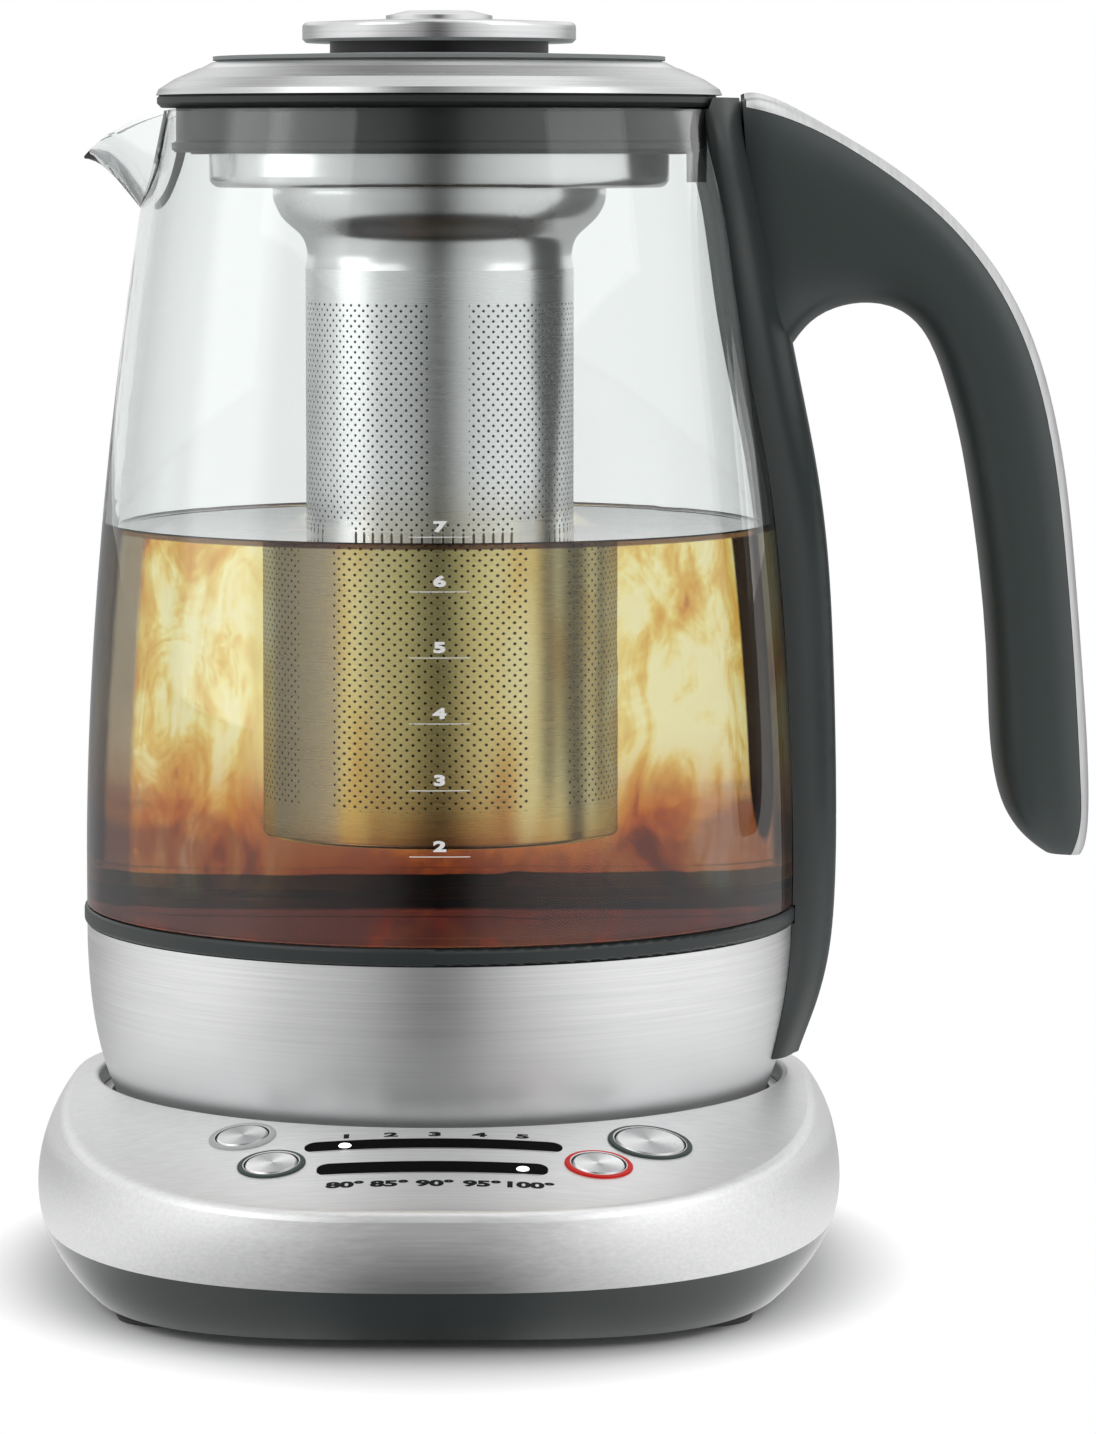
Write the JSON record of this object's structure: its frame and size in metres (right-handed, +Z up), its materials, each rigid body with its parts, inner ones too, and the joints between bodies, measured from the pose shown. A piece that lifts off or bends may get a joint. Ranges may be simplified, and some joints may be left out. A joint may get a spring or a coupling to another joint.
{
  "type": "automatic tea maker",
  "caption": "Cordless glass tea jug with a perforated steel basket, steel lid and arched handle, on a heated-jug base with a sloping button panel.",
  "frame": {"origin": "on the jug's axis, in the plane that the feet stand on", "axes": "+Z up along the jug's axis, -Y to the front with the control panel, +X to the handle, the spout is on -X"},
  "size_m": [0.1967, 0.1817, 0.2327],
  "materials": {
    "steel_base": "brushed",
    "steel_band": "brushed",
    "steel_lid": "brushed",
    "steel_knob": "brushed",
    "steel_trim": "satin",
    "steel_button": "spun",
    "steel_basket": "brushed",
    "polished_steel": "polished",
    "screw_steel": "zinc plated",
    "element_metal": "drawn",
    "contact_metal": "plated",
    "grey_plastic": "satin",
    "handle_plastic": "satin",
    "dark_plastic": "satin",
    "black_plastic": "satin",
    "silver_plastic": "satin",
    "red_plastic": "gloss",
    "switch_plastic": "matte",
    "gloss_black": "gloss",
    "board": "solder mask",
    "silicone": "matte",
    "rubber_foot": "matte",
    "glass": "clear"
  },
  "bodies": {
    "base": {"base_cover": "steel_base", "base_skirt": "grey_plastic", "base_plate": "dark_plastic", "base_well": "dark_plastic", "base_screws": "screw_steel", "foot_front_left": "rubber_foot", "foot_front_right": "rubber_foot", "foot_back_left": "rubber_foot", "foot_back_right": "rubber_foot", "dock_connector": "dark_plastic", "dock_pin": "contact_metal", "time_window": "gloss_black", "heat_window": "gloss_black", "control_board": "board", "power_board": "board", "cord_inlet": "dark_plastic", "ring_temperature": "dark_plastic", "ring_brew_time": "silver_plastic", "ring_start_timer": "dark_plastic", "ring_start_stop": "red_plastic", "switch_temperature": "switch_plastic", "switch_brew_time": "switch_plastic", "switch_start_timer": "switch_plastic", "switch_start_stop": "switch_plastic"},
    "jug": {"jug_glass": "glass", "steel_band": "steel_band", "collar_ring": "grey_plastic", "glass_gasket": "silicone", "heater_plate": "polished_steel", "heating_element": "element_metal", "thermostat": "dark_plastic", "temperature_sensor": "contact_metal", "jug_bottom": "dark_plastic", "jug_socket": "dark_plastic", "handle": "handle_plastic", "handle_trim": "steel_trim", "rim_clip": "dark_plastic"},
    "lid": {"lid_ring": "steel_lid", "lid_inner": "dark_plastic", "lid_seal": "silicone"},
    "basket": {"basket_dish": "polished_steel", "basket_funnel": "steel_basket", "basket_tube": "steel_basket", "basket_floor": "steel_basket"},
    "basket_cap": {"cap_disc": "dark_plastic", "cap_neck": "black_plastic", "cap_knob": "steel_knob", "cap_dome": "steel_knob", "cap_stud": "screw_steel"},
    "button_temperature": {"button_temperature": "steel_button"},
    "button_brew_time": {"button_brew_time": "steel_button"},
    "button_start_timer": {"button_start_timer": "steel_button"},
    "button_start_stop": {"button_start_stop": "steel_button"}
  },
  "joints": [
    {"name": "jug_lift", "type": "slide", "parent": "base", "child": "jug", "axis": [0, 0, 1], "range_m": [0, 0.12]},
    {"name": "lid_lift", "type": "slide", "parent": "jug", "child": "lid", "axis": [0, 0, 1], "range_m": [0, 0.06]},
    {"name": "basket_lift", "type": "slide", "parent": "lid", "child": "basket", "axis": [0, 0, 1], "range_m": [0, 0.16]},
    {"name": "cap_lift", "type": "slide", "parent": "basket", "child": "basket_cap", "axis": [0, 0, 1], "range_m": [0, 0.05]},
    {"name": "temperature_press", "type": "slide", "parent": "base", "child": "button_temperature", "axis": [0.0778, 0.2151, -0.9735], "range_m": [0, 0.0007], "stiffness_N_per_m": 300, "springref_m": -0.0006},
    {"name": "brew_time_press", "type": "slide", "parent": "base", "child": "button_brew_time", "axis": [0.1069, 0.2022, -0.9735], "range_m": [0, 0.0007], "stiffness_N_per_m": 300, "springref_m": -0.0006},
    {"name": "start_timer_press", "type": "slide", "parent": "base", "child": "button_start_timer", "axis": [-0.1148, 0.1979, -0.9735], "range_m": [0, 0.0007], "stiffness_N_per_m": 300, "springref_m": -0.0006},
    {"name": "start_stop_press", "type": "slide", "parent": "base", "child": "button_start_stop", "axis": [-0.0797, 0.2144, -0.9735], "range_m": [0, 0.0007], "stiffness_N_per_m": 300, "springref_m": -0.0006}
  ]
}
